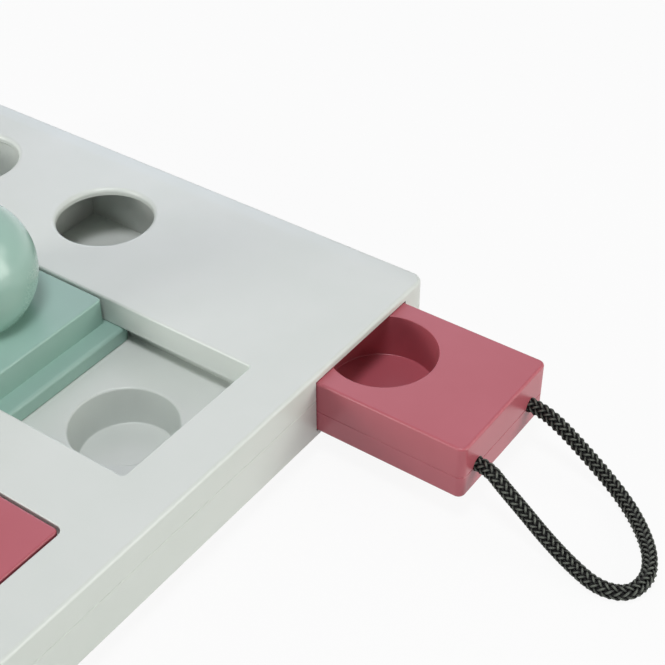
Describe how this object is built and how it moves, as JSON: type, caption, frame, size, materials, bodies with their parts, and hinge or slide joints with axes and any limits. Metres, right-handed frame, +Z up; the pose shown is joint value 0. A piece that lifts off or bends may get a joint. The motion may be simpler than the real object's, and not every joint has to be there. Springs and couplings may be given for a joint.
{
  "type": "cat puzzle feeder",
  "caption": "Flat treat board for cats with a cord-pulled drawer, a ball-knob slider over cups, open paw holes and flush rocking flaps.",
  "frame": {"origin": "on the surface it stands on, under the middle of the whole object with its drawer pulled out as in the picture, the cord loop left out", "axes": "X from the left side to the right side, where the drawer comes out; Y to the far side, where the drawer is; Z up"},
  "size_m": [0.2993, 0.25, 0.0643],
  "materials": {
    "grey_plastic": "fine satin moulded plastic, cool light grey",
    "pink_plastic": "satin moulded plastic, dusty pink",
    "mint_plastic": "satin moulded plastic, mint green",
    "black_cord": "round braided cord, black with grey-green lights",
    "foot_rubber": "soft rubber pads",
    "screw_steel": "plated steel"
  },
  "bodies": {
    "board": {"top_shell": "grey_plastic", "base_tray": "grey_plastic", "bottom_cover": "grey_plastic", "rubber_feet": "foot_rubber", "case_screws": "screw_steel", "cover_screws": "screw_steel", "right_flap_pin": "screw_steel", "middle_flap_pin": "screw_steel", "left_flap_pin": "screw_steel"},
    "drawer": {"drawer_body": "pink_plastic", "drawer_base": "pink_plastic", "drawer_screws": "screw_steel", "pull_loop": "black_cord", "near_knot": "black_cord", "far_knot": "black_cord"},
    "carriage": {"slider": "mint_plastic", "ball_knob": "mint_plastic", "knob_screw": "screw_steel"},
    "right_flap": {"right_flap": "pink_plastic"},
    "middle_flap": {"middle_flap": "pink_plastic"},
    "left_flap": {"left_flap": "pink_plastic"}
  },
  "joints": [
    {"name": "drawer_slide", "type": "slide", "parent": "board", "child": "drawer", "axis": [1, 0, 0], "range_m": [-0.0472, 0.0588]},
    {"name": "knob_slide", "type": "slide", "parent": "board", "child": "carriage", "axis": [1, 0, 0], "range_m": [-0.0554, 0.0542]},
    {"name": "right_flap_rock", "type": "hinge", "parent": "board", "child": "right_flap", "pos_m": [0.0364, -0.0705, 0.0244], "axis": [1, 0, 0], "range_deg": [0, 17]},
    {"name": "middle_flap_rock", "type": "hinge", "parent": "board", "child": "middle_flap", "pos_m": [-0.0236, -0.0705, 0.0244], "axis": [1, 0, 0], "range_deg": [0, 17]},
    {"name": "left_flap_rock", "type": "hinge", "parent": "board", "child": "left_flap", "pos_m": [-0.0836, -0.0705, 0.0244], "axis": [1, 0, 0], "range_deg": [0, 17]}
  ]
}
